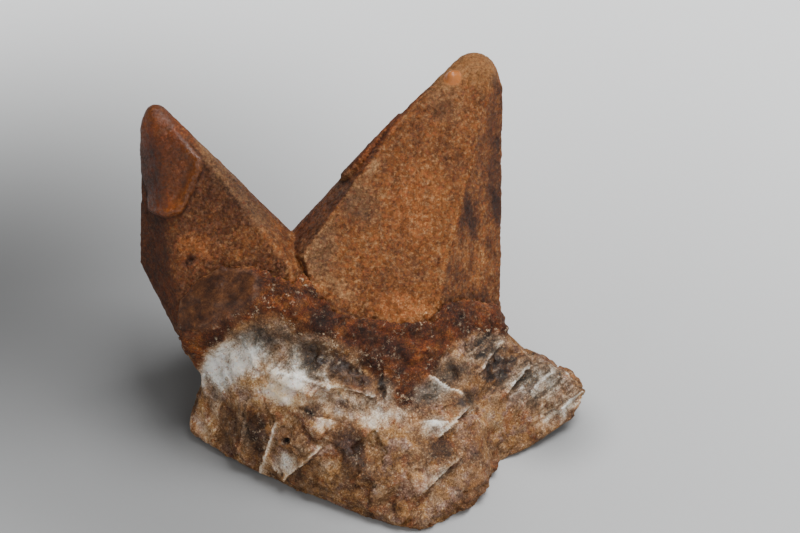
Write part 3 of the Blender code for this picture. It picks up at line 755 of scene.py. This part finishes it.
class Shader:
    """A short way to write a node material."""

    def __init__(self, name):
        self.material = bpy.data.materials.new(name)
        self.material.use_nodes = True
        self.tree = self.material.node_tree
        self.tree.nodes.clear()
        self.place = self.node("ShaderNodeTexCoord").outputs["Object"]

    def fill(self, socket, value):
        if isinstance(value, bpy.types.NodeSocket):
            self.tree.links.new(value, socket)
        elif isinstance(value, tuple) and len(value) == 3 and socket.type == "RGBA":
            socket.default_value = (*value, 1.0)
        else:
            socket.default_value = value

    def node(self, kind, settings=None, **sockets):
        node = self.tree.nodes.new(kind)
        for key, value in (settings or {}).items():
            setattr(node, key, value)
        for key, value in sockets.items():
            self.fill(node.inputs[key.replace("_", " ")], value)
        return node

    def mask(self, name):
        return self.node("ShaderNodeAttribute", {"attribute_name": name}).outputs["Fac"]

    def noise(self, size, detail=4.0, roughness=0.6, place=None, seed=0.0):
        """Noise from 0 to 1 with features of the given size in millimetres."""
        made = self.node("ShaderNodeTexNoise", {"noise_dimensions": "4D"}, Vector=place or self.place,
                         W=seed, Scale=1 / (size * MM), Detail=detail, Roughness=roughness)
        return made.outputs["Fac"]

    def voronoi(self, size, place, metric):
        return self.node("ShaderNodeTexVoronoi", {"distance": metric}, Vector=place or self.place,
                         Scale=1 / (size * MM))

    def cells(self, size, place=None, metric="EUCLIDEAN"):
        """Cells of the given size in millimetres, each with its own number from 0 to 1."""
        made = self.voronoi(size, place, metric)
        return self.node("ShaderNodeSeparateColor", Color=made.outputs["Color"]).outputs[0]

    def facets(self, size, slope, place=None, metric="EUCLIDEAN"):
        """Flat crumbs, each tilted its own way: their height in millimetres."""
        made = self.voronoi(size, place, metric)
        scaled = self.vector("SCALE", place or self.place)
        scaled.inputs["Scale"].default_value = 1 / (size * MM)
        home = self.vector("SUBTRACT", scaled.outputs[0], made.outputs["Position"])
        tilt = self.vector("SUBTRACT", made.outputs["Color"], (0.5, 0.5, 0.5))
        level = self.vector("DOT_PRODUCT", home.outputs[0], tilt.outputs[0])
        return self.times(level.outputs["Value"], 2.0 * slope * size)

    def along(self, *directions):
        """The place measured along three directions, each with its own stretch."""
        parts = [self.vector("DOT_PRODUCT", self.place, tuple(way)) for way in directions]
        x, y, z = (part.outputs["Value"] for part in parts)
        return self.node("ShaderNodeCombineXYZ", X=x, Y=y, Z=z).outputs[0]

    def vector(self, operation, first, second=(0, 0, 0)):
        node = self.node("ShaderNodeVectorMath", {"operation": operation})
        self.fill(node.inputs[0], first)
        self.fill(node.inputs[1], second)
        return node

    def math(self, operation, first, second=0.0):
        node = self.tree.nodes.new("ShaderNodeMath")
        node.operation = operation
        self.fill(node.inputs[0], first)
        self.fill(node.inputs[1], second)
        return node.outputs[0]

    def curve(self, value, low, high, to_low=0.0, to_high=1.0):
        """Smoothly map a value from one range to another, held at the ends."""
        node = self.node("ShaderNodeMapRange", {"interpolation_type": "SMOOTHSTEP"})
        for socket, number in zip(node.inputs, (value, low, high, to_low, to_high)):
            self.fill(socket, number)
        return node.outputs[0]

    def mix(self, share, first, second, blend="MIX"):
        node = self.node("ShaderNodeMix", {"data_type": "RGBA", "blend_type": blend})
        self.fill(node.inputs[0], share)
        self.fill(node.inputs[6], first)
        self.fill(node.inputs[7], second)
        return node.outputs[2]

    def ramp(self, value, stops):
        node = self.node("ShaderNodeValToRGB", Fac=value)
        elements = node.color_ramp.elements
        elements[0].position, elements[0].color = stops[0][0], (*stops[0][1], 1)
        elements[1].position, elements[1].color = stops[-1][0], (*stops[-1][1], 1)
        for place, colour in stops[1:-1]:
            elements.new(place).color = (*colour, 1)
        return node.outputs[0]

    def times(self, *values):
        result = values[0]
        for value in values[1:]:
            result = self.math("MULTIPLY", result, value)
        return result

    def add(self, *values):
        result = values[0]
        for value in values[1:]:
            result = self.math("ADD", result, value)
        return result

    def sway(self, value, amount):
        """A value from 0 to 1 made to sway about 0, over a range of the given amount."""
        return self.math("MULTIPLY", self.math("SUBTRACT", value, 0.5), amount)

    def bump(self, height, depth, strength=1.0, normal=None):
        """A bump of a height from 0 to 1 that stands for the given depth in millimetres."""
        made = self.node("ShaderNodeBump", Height=height, Strength=strength, Distance=depth * MM)
        if normal:
            self.fill(made.inputs["Normal"], normal)
        return made.outputs["Normal"]

    def finish(self, shader, volume=None):
        output = self.tree.nodes.new("ShaderNodeOutputMaterial")
        self.tree.links.new(shader.outputs[0], output.inputs["Surface"])
        if volume:
            self.tree.links.new(volume.outputs[0], output.inputs["Volume"])
        return self.material


def coat_material():
    """The iron-stained, granular skin of the crystals."""
    s = Shader("coated_calcite")
    fine = s.noise(0.32, 3.0, 0.7)
    grain = s.cells(0.55)
    hue = s.noise(0.75, 3.0, 0.75)
    middle = s.noise(1.8, 4.0, 0.65)
    large = s.noise(7.0)
    gloss = s.mask("gloss")
    rough = s.math("SUBTRACT", 1.0, gloss)
    sways = s.add(s.sway(fine, 0.66), s.sway(grain, 0.13), s.sway(middle, 0.45))
    tone = s.add(s.mask("tone"), s.times(sways, s.curve(gloss, 0, 1, 1.0, 0.75)), s.sway(large, 0.25))
    colour = s.ramp(tone, RUST_RAMP)
    grey = s.times(s.mask("grey"), s.curve(s.noise(1.1, 4.0, 0.7), 0.28, 0.52))
    colour = s.mix(grey, colour, s.ramp(tone, STAIN_RAMP))
    colour = s.mix(s.times(s.curve(hue, 0.53, 0.66), rough, 0.75), colour, s.ramp(tone, RED_RAMP))
    colour = s.mix(s.times(s.curve(hue, 0.49, 0.39), rough, 0.55), colour, s.ramp(tone, STAIN_RAMP))
    colour = s.mix(s.times(s.mask("red"), s.curve(middle, 0.3, 0.6), 0.8), colour, s.ramp(tone, RED_RAMP))
    flecks = s.times(s.curve(s.noise(0.4, 2.0, 0.6), 0.65, 0.75), rough, 0.34)
    colour = s.mix(flecks, colour, COAT_FLECK)
    pores = s.times(s.curve(s.noise(0.42, 2.0, 0.6), 0.36, 0.29), rough, 0.7)
    colour = s.mix(pores, colour, COAT_PORE)
    gold = s.mix(s.curve(fine, 0.3, 0.7), GOLD_DARK, GOLD_LIGHT)
    colour = s.mix(s.times(s.mask("gold"), 0.75), colour, gold)
    colour = s.mix(s.mask("bead"), colour, BEAD_COLOUR)
    height = s.add(s.times(fine, 0.20), s.times(middle, 0.15))
    normal = s.bump(height, 1.0, s.curve(gloss, 0, 1, 0.9, 0.55))
    normal = s.bump(s.facets(0.5, 0.5), 1.0, s.times(rough, 0.9), normal)
    lobes = s.times(s.curve(gloss, 0.65, 0.95, 0.0, 0.45), s.math("SUBTRACT", 1.0, s.mask("bead")))
    normal = s.bump(s.facets(0.6, 0.6), 1.0, lobes, normal)
    skin = s.node("ShaderNodeBsdfPrincipled", Base_Color=colour, Roughness=s.curve(gloss, 0, 1, 0.75, 0.26),
                  Normal=normal, IOR=1.5, Specular_IOR_Level=0.33, Subsurface_Weight=0.08,
                  Subsurface_Scale=1.0 * MM, Subsurface_Radius=(1.0, 0.4, 0.2))
    return s.finish(skin)


def base_material():
    """Broken calcite: white, tan, amber and smoky clear, with the rusty crust along its top."""
    s = Shader("broken_calcite")
    cleave = s.along(*CLEAVAGE_FACES)
    fibres = s.along(CLEAVAGE_EDGES[0] / 7, CLEAVAGE_FACES[1], CLEAVAGE_FACES[0] * 0.7)
    bands = s.along(CLEAVAGE_EDGES[0] / 2.5, CLEAVAGE_EDGES[1] / 0.5, CLEAVAGE_EDGES[2] / 2.5)
    fine = s.noise(0.32, 3.0, 0.85)
    blocks = s.cells(2.4, cleave, "CHEBYCHEV")
    middle = s.noise(1.7, 5.0, 0.65)
    large = s.noise(5.0, 3.0)
    streaks = s.noise(1.0, 4.0, 0.6, fibres)
    broken = s.mask("broken")
    bulge = s.mask("bulge")
    crust = s.mask("crust")
    wing = s.mask("wing")
    clear = s.mask("clear")

    sways = s.add(s.sway(fine, 1.15), s.times(s.sway(blocks, 0.12), broken), s.sway(middle, 0.75),
                  s.sway(large, 0.50))
    sways = s.times(sways, s.curve(bulge, 0, 1, 1.0, 0.70), s.curve(crust, 0, 1, 1.0, 1.25))
    bandings = s.times(s.sway(s.noise(1.0, 4.0, 0.6, bands), 0.9), bulge)
    stripes = s.times(s.sway(streaks, 1.5), s.curve(wing, 0, 1, 0.25, 1.0))
    tone = s.add(s.mask("tone"), sways, bandings, stripes)
    stained = s.ramp(tone, STAIN_RAMP)
    for size, seed, low, share, ramp in BASE_HUES:
        patch = s.curve(s.noise(size, 4.0, 0.7, seed=seed), low, low + 0.10)
        stained = s.mix(s.times(patch, broken, share), stained, s.ramp(tone, ramp))
    rust = s.times(s.mask("rust"), s.curve(middle, 0.2, 0.5, 0.85, 1.0))
    rusty = s.ramp(s.add(tone, 0.08), RUST_RAMP)
    reds = s.times(s.curve(s.noise(1.6, 4.0, 0.7, seed=7.0), 0.42, 0.58), crust, 0.85)
    rusty = s.mix(reds, rusty, s.ramp(s.add(tone, 0.04), RED_RAMP))
    colour = s.mix(rust, stained, rusty)
    cool = s.add(s.mask("cool"), s.times(s.sway(s.noise(2.4, 4.0, 0.7, seed=3.0), 1.9), broken))
    colour = s.mix(cool, colour, s.ramp(tone, GREY_RAMP))
    grains = s.times(s.curve(s.noise(0.42, 2.0, 0.6, seed=5.0), 0.58, 0.68), broken, 0.7)
    colour = s.mix(grains, colour, s.ramp(s.add(tone, 0.25), STAIN_RAMP))
    pores = s.times(s.curve(s.noise(0.45, 2.0, 0.6, seed=6.0), 0.42, 0.32), broken, 0.65)
    colour = s.mix(pores, colour, s.ramp(s.add(tone, -0.22), RED_RAMP))
    flecks = s.times(s.curve(s.noise(0.8, 5.0, 0.8, seed=8.0), 0.54, 0.62),
                     s.curve(s.noise(2.2, 3.0, 0.6, seed=9.0), 0.41, 0.58), s.mask("fleck"))
    colour = s.mix(flecks, colour, BASE_FLECK)
    height = s.add(s.times(fine, 0.18), s.facets(0.55, 0.30), s.times(middle, 0.25))
    normal = s.bump(height, 1.0, s.curve(bulge, 0, 1, 0.9, 0.35))
    normal = s.bump(s.facets(3.0, 0.10, cleave, "CHEBYCHEV"), 1.0, s.times(broken, 0.9), normal)
    normal = s.bump(s.times(streaks, 0.4), 1.0, s.times(wing, 0.9), normal)
    dull = s.curve(s.add(clear, s.times(bulge, 0.35), s.times(crust, -0.4)), -0.4, 0.8, 0.85, 0.20)
    skin = s.node("ShaderNodeBsdfPrincipled", Base_Color=colour, Roughness=dull, Normal=normal, IOR=1.6,
                  Specular_IOR_Level=0.25, Subsurface_Weight=0.30, Subsurface_Scale=1.5 * MM,
                  Subsurface_Radius=(1.0, 0.7, 0.5), Transmission_Weight=s.times(clear, SEE_THROUGH))
    smoke = s.node("ShaderNodeVolumeAbsorption", Color=SMOKE_COLOUR, Density=SMOKE_DENSITY)
    return s.finish(skin, smoke)


# ---------------------------------------------------------------- floor and light
PAPER_LIGHT = (0.93, 0.945, 0.955)
PAPER_DARK = tuple(0.97 * part for part in PAPER_LIGHT)
# Each painted shade on the paper, standing in for the falloff of the light and for cast shadows (the last
# one is the painted shadow under the wing): its pixel, its reach in millimetres and how much of the light
# it leaves.
FLOOR_SHADES = (
    ((-40, 285), 125, 0.16), ((100, 560), 105, 0.72), ((500, 540), 260, 0.50), ((250, 570), 60, 0.76),
    ((548, 429), 15, 0.52),
)
FLOOR_SIZE = 4.0            # in metres
FLOOR_DROP = 0.00005        # how far below the base the floor is, so that they don't share a plane
# Each lamp: its name, its place, aim and size in metres, and its power in watts.
LAMPS = (
    ("top", (0.22, 0.05, 0.75), (0, 0, 0.02), (0.45, 0.45), 9.0),
    ("front", (0.35, -0.7, 0.45), (0, 0, 0.03), (0.5, 0.4), 2.5),
    ("glint", (-0.26, -0.46, 0.10), (0, 0, 0.04), (0.03, 0.03), 0.30),
)
ROOM_COLOUR = (1.0, 0.98, 0.96, 1)
ROOM_STRENGTH = 0.30


def on_floor(pixel):
    """The point of the floor, in millimetres, that stands at a pixel of the picture."""
    scale = SENSOR / LENS / PICTURE_SIZE[0]
    across = (pixel[0] - PICTURE_SIZE[0] / 2) * scale * np.array((1, 0, 0))
    down = (pixel[1] - PICTURE_SIZE[1] / 2) * scale * UP
    way = LOOK + across - down
    start = TARGET - LOOK * DISTANCE
    return start - way * start[2] / way[2]


def floor_material():
    s = Shader("paper")
    tone = s.mix(s.noise(1.5, 3.0), PAPER_LIGHT, PAPER_DARK)
    # Painted shade: the paper is darkened round each listed pixel.
    for pixel, reach, left in FLOOR_SHADES:
        distance = s.vector("DISTANCE", s.place, on_floor(pixel) * MM).outputs["Value"]
        shade = s.curve(distance, 0.0, reach * MM, left, 1.0)
        tone = s.mix(1.0, tone, shade, "MULTIPLY")
    return s.finish(s.node("ShaderNodeBsdfPrincipled", Base_Color=tone, Roughness=0.9))


def make_floor():
    bpy.ops.mesh.primitive_plane_add(size=FLOOR_SIZE, location=(0, 0, -FLOOR_DROP))
    floor = bpy.context.object
    floor.name = "floor"
    floor.data.materials.append(floor_material())


def make_lights():
    for name, place, aim, size, power in LAMPS:
        lamp = bpy.data.lights.new(name, "AREA")
        lamp.shape = "RECTANGLE"
        lamp.size, lamp.size_y = size
        lamp.energy = power
        light = bpy.data.objects.new(name, lamp)
        bpy.context.scene.collection.objects.link(light)
        light.location = place
        light.rotation_euler = (Vector(aim) - Vector(place)).to_track_quat("-Z", "Y").to_euler()
    world = bpy.data.worlds.new("room")
    world.use_nodes = True
    background = world.node_tree.nodes["Background"]
    background.inputs["Color"].default_value = ROOM_COLOUR
    background.inputs["Strength"].default_value = ROOM_STRENGTH
    bpy.context.scene.world = world


make_camera()
shape_crystals()
shape_matrix()
make_floor()
make_lights()
